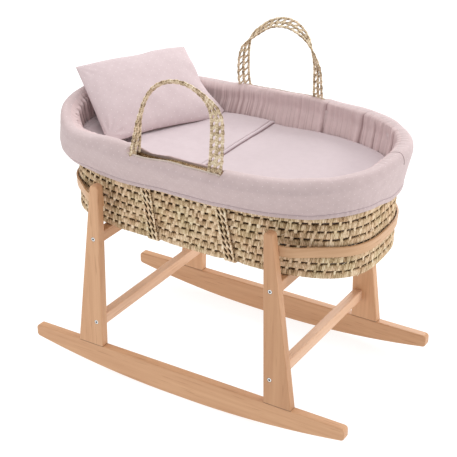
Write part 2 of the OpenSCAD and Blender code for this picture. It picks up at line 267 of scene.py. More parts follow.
def tube(path, radius, m=8):
    """Round tube along points, as a grid."""
    t = unit(np.gradient(path, axis=0))
    a = unit(np.cross(t, [0.31, 0.17, 0.94]))
    b = np.cross(t, a)
    p = TAU * np.arange(m) / m
    r = np.broadcast_to(radius, len(path))[:, None, None]
    return path[:, None] + r * (
        a[:, None] * np.cos(p)[None, :, None] + b[:, None] * np.sin(p)[None, :, None]
    )


# ------------------------------------------------------------------ finishes
class Nodes:
    def __init__(self, name):
        self.mat = bpy.data.materials.new(name)
        self.mat.use_nodes = True
        self.tree = self.mat.node_tree
        self.bsdf = self.tree.nodes["Principled BSDF"]

    def new(self, kind, **values):
        n = self.tree.nodes.new(kind)
        for k, v in values.items():
            setattr(n, k, v)
        return n

    def link(self, a, b):
        self.tree.links.new(a, b)

    def set(self, **values):
        for k, v in values.items():
            self.bsdf.inputs[k.replace("_", " ")].default_value = v

    def coords(self, scale, kind="Object"):
        c = self.new("ShaderNodeTexCoord")
        m = self.new("ShaderNodeMapping")
        m.inputs["Scale"].default_value = scale
        self.link(c.outputs[kind], m.inputs["Vector"])
        return m.outputs["Vector"]

    def noise(self, vector, scale=1.0, detail=2.0, rough=0.5):
        n = self.new("ShaderNodeTexNoise")
        n.inputs["Scale"].default_value = scale
        n.inputs["Detail"].default_value = detail
        n.inputs["Roughness"].default_value = rough
        self.link(vector, n.inputs["Vector"])
        return n.outputs["Fac"]

    def ramp(self, value, stops):
        r = self.new("ShaderNodeValToRGB")
        e = r.color_ramp.elements
        while len(e) < len(stops):
            e.new(0.5)
        for k, (at, colour) in enumerate(stops):
            e[k].position = at
            e[k].color = (*colour, 1.0) if len(colour) == 3 else colour
        self.link(value, r.inputs["Fac"])
        return r.outputs["Color"]

    def spread(self, value, low, high, to_low=0.0, to_high=1.0):
        m = self.new("ShaderNodeMapRange")
        for k, v in zip(
            ("From Min", "From Max", "To Min", "To Max"), (low, high, to_low, to_high)
        ):
            m.inputs[k].default_value = v
        self.link(value, m.inputs["Value"])
        return m.outputs["Result"]

    def mix(self, share, a, b, how="MIX"):
        """a and b are colours, or outputs of other nodes; share likewise."""
        m = self.new("ShaderNodeMix", data_type="RGBA", blend_type=how)
        for socket, v in ((m.inputs[0], share), (m.inputs[6], a), (m.inputs[7], b)):
            if isinstance(v, bpy.types.NodeSocket):
                self.link(v, socket)
            else:
                socket.default_value = (*v, 1.0) if isinstance(v, tuple) else v
        return m.outputs[2]

    def math(self, how, a, b=None):
        m = self.new("ShaderNodeMath", operation=how)
        for socket, v in zip(m.inputs, (a, b)):
            if isinstance(v, bpy.types.NodeSocket):
                self.link(v, socket)
            elif v is not None:
                socket.default_value = v
        return m.outputs[0]

    def colour(self, c):
        if isinstance(c, bpy.types.NodeSocket):
            self.link(c, self.bsdf.inputs["Base Color"])
        else:
            self.bsdf.inputs["Base Color"].default_value = (*c, 1.0)

    def bump(self, height, distance, strength=1.0):
        b = self.new("ShaderNodeBump")
        b.inputs["Distance"].default_value = distance
        b.inputs["Strength"].default_value = strength
        self.link(height, b.inputs["Height"])
        if self.bsdf.inputs["Normal"].is_linked:
            self.link(
                self.bsdf.inputs["Normal"].links[0].from_socket, b.inputs["Normal"]
            )
        self.link(b.outputs["Normal"], self.bsdf.inputs["Normal"])


def beech(name, scale, light, dark, seed, foot=False):
    """Oiled beech: scale is low along the grain and high across it."""
    n = Nodes(name)
    at = n.coords(scale)
    at.node.inputs["Location"].default_value = (seed * 1.7, seed * 2.3, seed * 0.9)
    streak = n.noise(at, 1.0, 4.0, 0.55)
    broad = n.noise(at, 0.22, 2.0, 0.5)
    fleck = n.coords(tuple(3.2 * v for v in scale))
    fleck.node.inputs["Location"].default_value = (seed, seed * 0.7, seed * 1.3)
    flecks = n.noise(fleck, 1.0, 1.0, 0.4)
    base = n.ramp(n.math("ADD", n.math("MULTIPLY", streak, 0.6), n.math("MULTIPLY", broad, 0.4)),
                  [(0.36, dark), (0.62, light)])
    brown = tuple(v * k for v, k in zip(dark, (0.72, 0.62, 0.52)))
    base = n.mix(n.spread(flecks, 0.66, 0.74, 0.0, 0.55), base, brown)
    if foot:
        # the joint on top of the rocker shows as a thin dark line
        place = n.new("ShaderNodeTexCoord")
        parts = n.new("ShaderNodeSeparateXYZ")
        n.link(place.outputs["Object"], parts.inputs["Vector"])
        base = n.mix(n.spread(parts.outputs["Z"], 0.0678, 0.0668, 0.0, 0.8), base, tuple(0.3 * v for v in dark))
    n.colour(base)
    n.set(Roughness=0.46, Specular_IOR_Level=0.4)
    n.bump(streak, 0.00025, 0.35)
    return n.mat


LIGHT, DARK = (0.655, 0.38, 0.212), (0.56, 0.30, 0.158)
# a lighter copy of the beech, used on the lower bars: painted light
BEECH_PAINTED_LIGHT, BEECH_PAINTED_LIGHT_DARK = (0.765, 0.495, 0.33), (0.67, 0.41, 0.26)
PALE, PALE_DARK = (0.70, 0.43, 0.24), (0.585, 0.335, 0.17)
# the second beech along the grain is a darker copy, used on the back rocker: painted shade
beech_x = [beech("beech_along_0", (5, 110, 110), LIGHT, DARK, 1), beech("beech_along_painted_shade", (5, 110, 110), (0.605, 0.345, 0.19), (0.515, 0.272, 0.14), 2)]
beech_z = [beech(f"beech_up_{k}", (120, 120, 5), LIGHT, DARK, k + 11, True) for k in range(4)]
beech_y = [beech(f"beech_across_{k}", (110, 5, 110), *((LIGHT, DARK) if k < 2 else (BEECH_PAINTED_LIGHT, BEECH_PAINTED_LIGHT_DARK)), k + 21) for k in range(4)]
# the second bent beech is a darker copy, used on the right hoop: painted shade
beech_bent = [beech("beech_bent_0", (7, 7, 190), PALE, PALE_DARK, 31), beech("beech_bent_painted_shade", (7, 7, 190), (0.61, 0.372, 0.21), (0.51, 0.29, 0.15), 32)]
beech_dowel = beech("beech_dowel", (90, 90, 8), LIGHT, DARK, 41)


def steel():
    n = Nodes("zinc_plated_steel")
    # painted shade: the colour goes dark where the AO node finds the hex sockets enclosed
    hollow = n.new("ShaderNodeAmbientOcclusion", samples=8)
    hollow.inputs["Distance"].default_value = 0.004
    n.colour(n.ramp(hollow.outputs["AO"], [(0.45, (0.03, 0.03, 0.03)), (0.8, (0.88, 0.88, 0.87))]))
    n.set(Metallic=1.0, Roughness=0.3)
    return n.mat


def palm(name, stops, rough=0.62, patch=0.8, gloss=0.06):
    """Dried palm leaf: each strip has its own tone; some are greenish, some reddish."""
    n = Nodes(name)
    tone = n.new("ShaderNodeAttribute", attribute_name="tone").outputs["Fac"]
    green = n.noise(n.coords((1, 1, 1)), 19.0, 3.0, 0.6)
    red = n.noise(n.coords((1, 1, 1)), 27.0, 3.0, 0.6)
    fine = n.noise(n.coords((1, 1, 1)), 900.0, 2.0, 0.6)
    hair = n.noise(n.coords((1, 1, 0.25)), 420.0, 3.0, 0.7)
    value = n.math("ADD", tone, n.spread(fine, 0.3, 0.7, -0.14, 0.14))
    value = n.math("ADD", value, n.spread(hair, 0.3, 0.7, -0.2, 0.2))
    leaf = n.ramp(value, stops)
    leaf = n.mix(n.spread(green, 0.48, 0.66, 0.0, patch), leaf, n.mix(1.0, leaf, (0.89, 0.95, 0.88), "MULTIPLY"))
    leaf = n.mix(n.spread(red, 0.48, 0.66, 0.0, patch), leaf, n.mix(1.0, leaf, (1.0, 0.91, 0.87), "MULTIPLY"))
    n.colour(leaf)
    n.set(Roughness=rough, Specular_IOR_Level=gloss)
    n.bump(fine, 0.0004, 0.35)
    return n.mat


def cloth(name, colour, shade, dots=0.0, weave=0.25, dot=(0.80, 0.72, 0.72), crease=False):
    """Plain cotton; dots is the pitch of the white dots in metres, or 0."""
    n = Nodes(name)
    mottle = n.noise(n.coords((1, 1, 1)), 60.0, 3.0, 0.6)
    slub = n.noise(n.coords((1, 1, 1)), 1100.0, 2.0, 0.7)
    base = n.mix(n.spread(mottle, 0.3, 0.7), shade, colour)
    base = n.mix(n.spread(slub, 0.2, 0.8, 0.0, 0.35), base, shade)
    height = slub
    # with crease, the tone attribute paints shade where it is low and light where it is high
    if crease:
        tone = n.new("ShaderNodeAttribute", attribute_name="tone").outputs["Fac"]
        base = n.mix(n.spread(tone, 0.46, 0.1, 0.0, 0.7), base, n.mix(1.0, base, (0.50, 0.42, 0.42), "MULTIPLY"))
        base = n.mix(n.spread(tone, 0.54, 0.9, 0.0, 0.5), base, n.mix(1.0, base, (1.1, 1.1, 1.1), "MULTIPLY"))
    if dots:
        uv = n.new("ShaderNodeUVMap", uv_map="cut").outputs["UV"]
        near = []
        for shift in (0.0, 0.5):
            m = n.new("ShaderNodeMapping")
            m.inputs["Scale"].default_value = (1 / dots, 1 / dots, 1.0)
            m.inputs["Location"].default_value = (shift, shift, 0.0)
            n.link(uv, m.inputs["Vector"])
            f = n.new("ShaderNodeVectorMath", operation="FRACTION")
            n.link(m.outputs["Vector"], f.inputs[0])
            d = n.new("ShaderNodeVectorMath", operation="DISTANCE")
            d.inputs[1].default_value = (0.5, 0.5, 0.0)
            n.link(f.outputs["Vector"], d.inputs[0])
            near.append(d.outputs["Value"])
        spot = n.spread(n.math("MINIMUM", *near), 0.056, 0.030)
        base = n.mix(spot, base, dot)
        n.bump(spot, 0.0005, 0.4)
    n.colour(base)
    n.set(Roughness=0.92, Specular_IOR_Level=0.15, Sheen_Weight=0.18, Sheen_Roughness=0.5)
    n.bump(height, 0.0004, weave)
    return n.mat


metal = steel()
weave = palm(
    "palm_weave",
    [(0.0, (0.06, 0.026, 0.007)), (0.3, (0.47, 0.315, 0.175)), (0.62, (0.83, 0.645, 0.445)), (1.0, (0.98, 0.87, 0.69))],
    patch=0.75,
)
plaited = palm(
    "palm_plait",
    [(0.0, (0.17, 0.11, 0.06)), (0.35, (0.56, 0.42, 0.27)), (0.7, (0.83, 0.70, 0.52)), (1.0, (0.95, 0.88, 0.74))],
    0.5,
    0.4,
    0.15,
)
# the liner's outer cotton is set darker than the bedding's, for its skirt in shade: painted shade
LINER_PINK_PAINTED_SHADE, LINER_PINK_PAINTED_SHADE_MOTTLE = (0.58, 0.464, 0.462), (0.525, 0.415, 0.413)
liner_cloth = cloth("liner_dotted_cotton", LINER_PINK_PAINTED_SHADE, LINER_PINK_PAINTED_SHADE_MOTTLE, dots=0.021, dot=(0.70, 0.61, 0.61))
inner_cloth = cloth("liner_plain_cotton", (0.635, 0.493, 0.488), (0.57, 0.437, 0.433), crease=True)
edge_cloth = cloth("liner_binding", (0.60, 0.51, 0.45), (0.55, 0.46, 0.40))
hem_cloth = cloth("liner_hem_stitching", (0.42, 0.33, 0.35), (0.38, 0.29, 0.31))
# a darker cloth for the inner face of the front slit: painted shade
slit_shade_cloth = cloth("liner_slit_painted_shade", (0.42, 0.325, 0.30), (0.37, 0.28, 0.26))
pillow_cloth = cloth("pillow_dotted_cotton", (0.64, 0.525, 0.535), (0.59, 0.478, 0.488), dots=0.021, dot=(0.75, 0.675, 0.675))
# a dark cord along the pillow's lower edge: painted shadow
pillow_shadow_cord_cloth = cloth("pillow_painted_shadow_cord_cotton", (0.17, 0.115, 0.11), (0.15, 0.10, 0.095))
pillow_plain = cloth("pillow_seam_cotton", (0.60, 0.485, 0.495), (0.55, 0.435, 0.445))
# a dark cloth for the seam at the foot end: partly its own colour, partly painted shade
seam_and_shade_cloth = cloth("liner_seam_and_painted_shade", (0.34, 0.25, 0.25), (0.30, 0.22, 0.22))
# dark cords for the coverlet's hem: stitching, and painted shade and shadow
thread_and_shadow_cloth = cloth("hem_thread_and_painted_shadow", (0.27, 0.18, 0.19), (0.24, 0.16, 0.17))
sheet_cloth = cloth("mattress_cotton", (0.60, 0.505, 0.523), (0.57, 0.477, 0.495), weave=0.15, crease=True)
cover_cloth = cloth("coverlet_cotton", (0.612, 0.515, 0.533), (0.572, 0.475, 0.494), weave=0.15, crease=True)

# ------------------------------------------------------------------ the stand
FINISH = {
    "rocker_front": beech_x[0],
    "rocker_back": beech_x[1],
    "leg_front_left": beech_z[0],
    # a darker copy of the upright beech for this leg: painted shade
    "leg_front_right": beech("beech_up_painted_shade", (120, 120, 5), (0.575, 0.32, 0.172), (0.495, 0.255, 0.13), 12, True),
    "leg_back_left": beech_z[2],
    "leg_back_right": beech_z[3],
    "upper_bar_left": beech_y[0],
    "upper_bar_right": beech_y[1],
    "lower_bar_left": beech_y[2],
    "lower_bar_right": beech_y[3],
    "hoop_left": beech_bent[0],
    "hoop_right": beech_bent[1],
    "bar_dowels": beech_dowel,
    "leg_dowels": beech_dowel,
    "frame_bolts": metal,
    "barrel_nuts": metal,
    "hoop_screws": metal,
}
for name, mat in FINISH.items():
    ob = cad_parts[name]
    ob.data.materials.clear()
    ob.data.materials.append(mat)

# ------------------------------------------------------------------ the weave
PITCH, ROWS = 18.5, 11
HALF_H, HALF_O = 8.2, 4.3
STITCHES = 97
# the stitches stand closer along the sides than round the ends
_even = np.linspace(0, 1, 2001)
_spaced = _even + 0.08 * np.sin(2 * TAU * _even) / (2 * TAU)


def coil(place, length, half_h, half_o, strip, m, slant, seed, bend=0.66, tilt=None):
    """One row of the weave: a flat coil wrapped in leaf strips. tilt gives the phase of
    the stitches under and over it, between which its edges slant."""
    g = made_from(seed)
    k = max(8, int(length / strip))
    w = g.uniform(0.6, 1.4, k)
    w /= w.sum()
    edge = np.concatenate([[0], np.cumsum(w)[:-1]])
    s = np.stack([edge, edge + w * 0.5], 1).ravel()
    lift = np.tile([-0.4, 0.3], k)
    own = np.clip(g.normal(0.55, 0.13, k), 0.3, 1.0)
    # each strip is darker along the crease at its edge: painted shade
    tone = np.stack([np.minimum(own, np.roll(own, 1)) - 0.2, own], 1).ravel()
    p = TAU * np.arange(m) / m
    # painted shade and light: darker along the gaps between rows and over the upper half of each row, under the row
    # above, lighter over the lower half
    edge = 0.75 * np.abs(np.sin(p)) ** 7 + 0.13 * np.sin(p) * (np.abs(np.sin(p)) < 0.9)
    at, along, out, up = place(s[:, None] + slant * np.sin(p)[None] / length)
    so = half_o * spow(np.cos(p), bend)[None] * (1 + lift[:, None] / half_o)
    sh = half_h * spow(np.sin(p), bend)[None] * (1 + 0.5 * lift[:, None] / half_h)
    # the gaps are finer round the ends, most of all at the foot, and their painted shade lighter there
    foot = np.minimum(s, 1 - s)
    open_ = 1 - 0.2 * (1 + np.cos(2 * TAU * s)) - 0.24 * np.exp(-((foot / 0.13) ** 2)) if tilt else np.ones_like(s)
    if tilt:
        for phase, size, half in zip(tilt, (0.8, 3.0), (np.clip(-np.sin(p), 0, 1), np.clip(np.sin(p), 0, 1))):
            cell = (np.interp(s, _spaced, _even) * STITCHES - phase) % 1.0 - 0.5
            sh = sh + size * (cell * open_)[:, None] * half[None]
    return at + out * so[..., None] + up * sh[..., None], np.clip(tone[:, None] - edge[None] * open_[:, None], 0, 1)


def stitches(place, count, phase, length, reach, depth, lean, width, seed):
    """The strands that tie two rows together: short flat ribbons across the gap."""
    g = made_from(seed)
    s = (np.arange(count) + phase + g.uniform(-0.07, 0.07, count)) / count
    s = np.interp(s % 1.0, _even, _spaced)
    q = np.linspace(-1, 1, 7)
    run = s[:, None] + lean * q[None] / 2 / length
    at, along, out, up = place(run)
    rise = depth * (0.72 + 0.22 * q**2)
    mid = at + out * rise[None, :, None] + up * ((reach * q)[None] + g.uniform(-0.7, 0.7, count)[:, None])[..., None]
    w = (width * g.uniform(0.85, 1.2, count) * (1 - 0.28 * np.cos(2 * TAU * s)))[:, None, None] / 2
    lines = [mid - along * w - out * 0.5, mid - along * w * 0.45 + out * 0.25, mid + along * w * 0.45 + out * 0.25,
             mid + along * w - out * 0.5, mid - out * 0.9]
    own = np.clip(g.normal(0.54, 0.12, count), 0.1, 1)
    # the sides of each ribbon and the part sunk into the gap are darker: painted shade
    tone = own[:, None, None] + np.array([-0.12, 0.02, 0.02, -0.12, -0.2])[None, None]
    return np.stack(lines, 2), np.clip(np.repeat(tone, 7, 1), 0, 1)


def wall_piece():
    rows, ties = Pile(), Pile()
    phase = 0.0
    for i in range(ROWS):
        level = 365 + PITCH * (i + 0.5)
        dz, do = wobble(100 + i, 3, 30), wobble(150 + i, 3, 24)

        def place(s, level=level, dz=dz, do=do):
            return wall_frame(s, level + 0.45 * dz(s), -HALF_O + 0.5 * do(s))

        hidden = level > 530
        strip = 9.0 if hidden else 3.2
        tilt = None if hidden else (0.43 * (i - 1), 0.43 * i)
        pts, tone = coil(place, GIRTH, HALF_H, HALF_O, strip, 8 if hidden else 12, 1.6, 200 + i, 0.66, tilt)
        rows.add(pts, True, True, tone)
        if i == 0:
            continue

        def gap(s, level=level, do=do):
            return wall_frame(s, level - PITCH / 2, -HALF_O + 0.5 * do(s))

        pts, tone = stitches(gap, STITCHES, phase, GIRTH, 4.6, HALF_O, 1.8, 7.2, 300 + i)
        for k in range(len(pts)):
            ties.add(pts[k], False, True, tone[k])
        phase += 0.43
    # loose ends of leaf that stand off the wall
    g = made_from(910)
    for _ in range(150):
        at, along, out, up = wall_frame(g.uniform(0, 1), g.uniform(372, 500), 0.0)
        way = unit(along * g.uniform(-1, 1) + up * g.uniform(-1, 1))
        f = np.linspace(0, 1, 5)[:, None]
        line = at + way * f * g.uniform(5, 13) + out * (2.4 * f * (1.4 - f) + 0.2)
        ties.add(tube(line, 0.5, 5), False, True, g.uniform(0.6, 0.9), cap=True)
    a = rows.build("basket_wall_rows", weave, "basket", "palm_weave")
    b = ties.build("basket_wall_stitches", weave, "basket", "palm_weave")
    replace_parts(a, "basket_wall")
    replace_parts(b, "basket_wall")


def base_piece():
    rows, ties = Pile(), Pile()
    pitch = 18.0
    for j in range(10):
        o = -10.5 - pitch * (j + 0.5)
        ring = wall(np.linspace(0, 1, 1200), 365.0, o)[:, :2]
        length = np.linalg.norm(np.diff(ring, axis=0), axis=1).sum()

        def place(s, o=o):
            at, along, out, up = wall_frame(s, 365.0, o)
            at = at.copy()
            at[..., 2] = 369.2 - end_sag(at[..., 0]) + lift(at[..., 0])
            flat = unit(out * np.array([1, 1, 0]))
            down = np.broadcast_to([0.0, 0.0, -1.0], at.shape)
            return at, along, down, flat

        pts, tone = coil(place, length, 7.4, 3.9, 6.0, 8, 1.6, 400 + j)
        rows.add(pts, True, True, tone)
        if j == 0:
            continue

        def gap(s, o=o):
            return place(s, o + pitch / 2)

        pts, tone = stitches(gap, max(12, int(length / 18)), 0.4 * j, length, 4.0, 3.9, 1.8, 5.4, 420 + j)
        for k in range(len(pts)):
            ties.add(pts[k], False, True, tone[k])
    a = rows.build("basket_base_rows", weave, "basket", "palm_weave")
    b = ties.build("basket_base_stitches", weave, "basket", "palm_weave")
    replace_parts(a, "basket_base")
    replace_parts(b, "basket_base")


def rim_piece():
    # the rim stands up between the feet of the handles, where the liner is open
    def place(s):
        at = wall(s, 580.0, 0.0)
        shown = (1 - ease(np.abs(at[..., 0]), 106, 119)) * (at[..., 1] < 0)
        return wall_frame(s, 576.5 + (7.5 + 5.5 * ease(at[..., 0], -60, 0)) * shown, -4.0 + 1.4 * shown)

    pts, tone = coil(place, GIRTH * 1.05, 6.4, 6.4, 4.0, 12, 9.0, 500, 1.0)
    # lighter along the front right and darker along the front left: painted light and shade
    front = pts[..., 1] < 0
    tone = np.clip(tone - np.where(front, -0.1 + 0.4 * ease(-pts[..., 0], 10, 90), 0.0), 0, 1)
    ob = Pile().add(pts, True, True, tone).build("basket_rim_coil", weave, "basket", "palm_weave")
    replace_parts(ob, "basket_rim")


# ------------------------------------------------------------------ plaits
def plait(pile, path, across, face, s, width, thick, cord, middle, seed, run, shift, shade_backing=False, fill=0.66):
    """An open flat plait along a line: two smooth edges, a middle, and strands that
    slant from one to the next. across and face are unit vectors."""
    g = made_from(seed)
    pitch = 16.0
    reach = width / 2 - cord
    m = 12
    p = TAU * np.arange(m) / m
    waist = 1 - 0.28 * np.exp(-((np.cos(p) / 0.3) ** 2))
    # painted shade: each strand is darker along its sides and down the pinched middle of its faces
    dark = -0.26 * np.exp(-((np.cos(p) / 0.2) ** 2)) - 0.42 * np.abs(np.cos(p)) ** 8

    def strand(line, front, half_w, half_t, own):
        t = unit(np.gradient(line, axis=0))
        side = unit(np.cross(front, t))
        top = np.cross(t, side)
        c = np.cos(p)[None, :, None] * half_w[:, None, None]
        d = (half_t * spow(np.sin(p), 0.9) * waist)[None, :, None]
        pile.add(line[:, None] + side[:, None] * c + top[:, None] * d, False, True, np.clip(own[:, None] + dark[None], 0, 1), cap=True)

    if shade_backing:
        # a dark ribbon under the plait: painted shade that shows through its holes
        lines = [path + across * (c * (reach - 0.5)) - face * (0.3 * thick + d) for c, d in ((-1, 0), (1, 0), (1, 0.6), (-1, 0.6))]
        pile.add(np.stack(lines, 1), False, True, 0.03, cap=True)
    beat = TAU * s / pitch
    for k, (half_w, half_t, sway) in enumerate(((cord, 0.36, 0.35), (middle, 0.27, 1.0), (cord, 0.36, 0.35))):
        turn = g.uniform(0, 6)
        aside = reach * (k - 1) + sway * np.sin(beat + turn)
        line = path + across * aside[:, None] + face * (0.06 * thick * np.sin(beat + turn + 1.3))[:, None]
        own = shift + g.uniform(0.6, 0.74) + 0.14 * np.sin(TAU * s / 43 + g.uniform(0, 6)) + 0.13 * np.sin(beat + turn) + 0.15 * np.sin(TAU * s / 6.1 + g.uniform(0, 6))
        strand(line, face, half_w * (1 + 0.12 * np.sin(beat + turn + 2)), half_t * thick, own)
    q = np.linspace(-1, 1, 11)
    for column in (-0.5, 0.5):
        for mid in np.arange(pitch * (0.5 + column), s[-1] - 25, pitch) + 12.5:
            way = mid + run * q
            at, side, front = (np.stack([np.interp(way, s, v[:, i]) for i in range(3)], -1) for v in (path, across, face))
            aside = reach * (column + 0.5 * np.sin(q * math.pi / 2))
            line = at + side * aside[:, None] + front * (0.13 * thick * np.cos(q * math.pi / 2))[:, None]
            # each slanting strand is darker at its ends, where it sinks under the edges: painted shade
            strand(line, unit(front), np.full(11, fill * cord) * g.uniform(0.85, 1.2), (0.06 + 0.27 * fill) * thick, shift + g.uniform(0.4, 0.86) - 0.4 * q**4)


def strap_piece(name, lean):
    """Plait down the front of the wall, under the base and up the back. lean gives
    its place along the wall at the base, at the hem of the liner and at the rim."""
    up = []
    for h in np.linspace(566, 374, 60):
        at = float(np.interp(h, [374, 505, 566], lean))
        y = float(wall_y(at, h, 0.0)) + 4.4
        share = max(0.0, (h - 365) / 215) ** 1.5
        low = float(lift(at)) * max(0.0, 1 - (h - 365) / 90)
        up.append([at, y, h + share * (17 * (at / 392) ** 2 - 7 * at / 392) + low])
    up = np.array(up)
    x1, y0 = up[-1, 0], up[-1, 1]
    low = float(lift(x1))
    turn = [[x1, y0 - 9 + 9 * math.cos(a), low + 370 - 8.4 * math.sin(a)] for a in np.linspace(0.15, math.pi / 2, 9)]
    half = np.concatenate([up, turn, [[x1, 120, low + 361.6], [x1, 60, low + 361.6]]])
    path, s = resample(np.concatenate([half, half[::-1] * [1, -1, 1]]), 1.7)
    t = unit(np.gradient(path, axis=0))
    across = np.broadcast_to([1.0, 0.0, 0.0], path.shape)
    across = unit(across - t * (across * t).sum(1, keepdims=True))
    face = unit(np.cross(across, t))
    pile = Pile()
    plait(pile, path, across, face, s, 26.5, 7.2, 2.4, 2.4, 600 + int(lean[0]), -10.5, 0.03, True)
    ob = pile.build(name, weave, "basket", "palm_plait")
    return ob


def smooth_line(knots, count):
    """Smooth line through knots; the first column is the way along it, 0 to 1."""
    k = np.asarray(knots, float)
    u, v = k[:, 0], k[:, 1:]
    slope = np.gradient(v, u, axis=0)
    x = np.linspace(u[0], u[-1], count)
    i = np.clip(np.searchsorted(u, x, side="right") - 1, 0, len(u) - 2)
    w = (u[i + 1] - u[i])[:, None]
    f = (x - u[i])[:, None] / w
    return (
        (2 * f**3 - 3 * f**2 + 1) * v[i]
        + (f**3 - 2 * f**2 + f) * w * slope[i]
        + (3 * f**2 - 2 * f**3) * v[i + 1]
        + (f**3 - f**2) * w * slope[i + 1]
    )


def handle_piece(name, node, y, knots, width, seed, fill, cord, shift):
    """knots: x, z and twist in degrees along the handle, from its left foot."""
    k = np.array(knots, float)
    d = np.concatenate([[0], np.cumsum(np.linalg.norm(np.diff(k[:, :2], axis=0), axis=1))])
    got = smooth_line(np.column_stack([d / d[-1], k]), 420)
    side = math.copysign(1, y)
    # the feet stand outside the rim, between it and the liner
    out = side * np.interp(got[:, 1], [584, 600, 622], [8.0, 5.0, 0.0])
    line = np.stack([got[:, 0], y + out, got[:, 1]], -1)
    path, s = resample(line, 1.5)
    w = np.radians(np.interp(s / s[-1], np.linspace(0, 1, len(got)), got[:, 2]))
    t = unit(np.gradient(path, axis=0))
    deep = np.broadcast_to([0.0, 1.0, 0.0], path.shape)
    radial = unit(np.cross(deep, t))
    deep = np.cross(t, radial)
    across = radial * np.cos(w)[:, None] + deep * np.sin(w)[:, None]
    face = unit(np.cross(t, across))
    pile = Pile()
    plait(pile, path, across, face, s, width, 8.0, cord, cord + 0.3, seed, 8.4, shift, False, fill)
    ob = pile.build(name, plaited, None, "palm_plait")
    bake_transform(ob)
    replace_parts(ob, node)
    return ob


FRONT_HANDLE = [(-102, 584, 80), (-104, 598, 82), (-104, 618, 88), (-100, 647, 99), (-96, 669, 105), (-88, 694, 108),
                (-78, 718, 105), (-64, 739, 96), (-42, 759, 81), (-12, 771, 66), (17, 773, 56), (41, 767, 49),
                (61, 757, 42), (78, 744, 32), (90, 731, 16), (97, 714, 4), (99, 692, 0), (98, 655, -3), (96, 612, -6),
                (96, 584, -6)]
BACK_HANDLE = [(-104, 584, 14), (-105, 612, 36), (-107, 646, 45), (-105, 684, 60), (-100, 706, 80), (-88, 726, 108),
               (-62, 750, 119), (-34, 769, 121), (-8, 777, 124), (21, 776, 119), (45, 764, 100), (65, 745, 76),
               (77, 722, 56), (85, 703, 45), (91, 682, 32), (94, 646, 21), (95, 613, 15), (95, 584, 12)]


# ------------------------------------------------------------------ the liner
def roll_at(a):
    """The roll over the rim: round outside, fuller inside."""
    a = math.radians(a)
    if a <= math.pi / 2:
        return [580 + 22 * math.sin(a), 7.6 + 22 * math.cos(a)]
    return [580 + 22 * math.sin(a) ** 0.72, 7.6 - 25.4 * abs(math.cos(a)) ** 0.72]


HEM = [[505.4, 10.7], [503.9, 11.5], [504.2, 12.9], [506.2, 13.6], [508.8, 13.9], [511.2, 13.6], [512.6, 12.8],
       [513.4, 12.6], [514.4, 13.3], [517.5, 14.4], [523, 15.9], [530, 17.6], [538, 19.6], [546, 21.6], [554, 23.6],
       [561, 25.4]]
TOP = [roll_at(a) for a in np.linspace(-16, 180, 32)]
SLIT = [[574.5, 28.7], [578.1, 29.3], [581.7, 29.6], [585.4, 29.5], [589.1, 28.9], [592.3, 27.8], [595.0, 26.2],
        [596.9, 24.2], [598.0, 22.0], [598.2, 19.8], [597.7, 17.6], [596.1, 15.8], [593.2, 14.6], [589.5, 13.8],
        [585.2, 13.2], [581.0, 12.2], [578.8, 9.8], [578.3, 6.0], [578.3, 1.0], [578.3, -4.0], [578.6, -7.6],
        [580.4, -8.9], [583.6, -9.2], [587.4, -9.3], [591.0, -9.4], [594.2, -9.6], [596.6, -10.1], [597.8, -11.0],
        [597.6, -12.8], [595.6, -14.8], [590.0, -16.8], [580.0, -17.8]]
# at the back the opening lies outside, behind a full roll
SLIT_BACK = [[573.9, 28.7], [576.6, 29.3], [579.2, 29.6], [582.0, 29.5], [584.8, 28.9], [587.4, 27.8], [589.6, 26.2],
             [591.4, 24.2], [592.4, 22.0], [592.8, 19.8], [592.2, 17.6], [591.0, 16.0], [589.6, 15.0], [586.4, 13.8],
             [585.0, 11.4], [584.6, 8.2], [585.4, 5.6], [589.0, 4.4], [594.0, 3.9], [598.8, 3.0], [601.3, 0.2]] + TOP[21:]
PAD = [[574, -18.3], [568, -18.8], [562, -19.2], [556, -19.5], [550, -19.8], [544, -20.0], [538, -20.1], [532, -20.2],
       [524, -20.2], [512, -20.1], [495, -20], [446, -20], [444, -17], [444, -11], [446, -9.7]]
HIDDEN = [[495, -9.7], [525, -9.7], [550, -9.7], [564, -10.6], [572, -12.4], [579, -12.4], [582, -8], [582.4, 0],
          [580, 8.6], [569, 10.3], [550, 10.4], [525, 10.4], [510, 10.5]]
HIDDEN_SLIT = [[495, -9.7], [525, -9.7], [550, -9.7], [564, -10.2], [570, -10.4], [573.4, -8.8], [574.2, -4],
               [574.2, 2], [573.2, 8.2], [566, 10.3], [550, 10.4], [525, 10.4], [510, 10.5]]


def pad_thin(x, y):
    """1 where the padding inside is thin: round the ends and along the back of the foot half."""
    return np.maximum(ease(np.abs(x), 240, 330), ease(x, -80, 20) * ease(y, 40, 130))


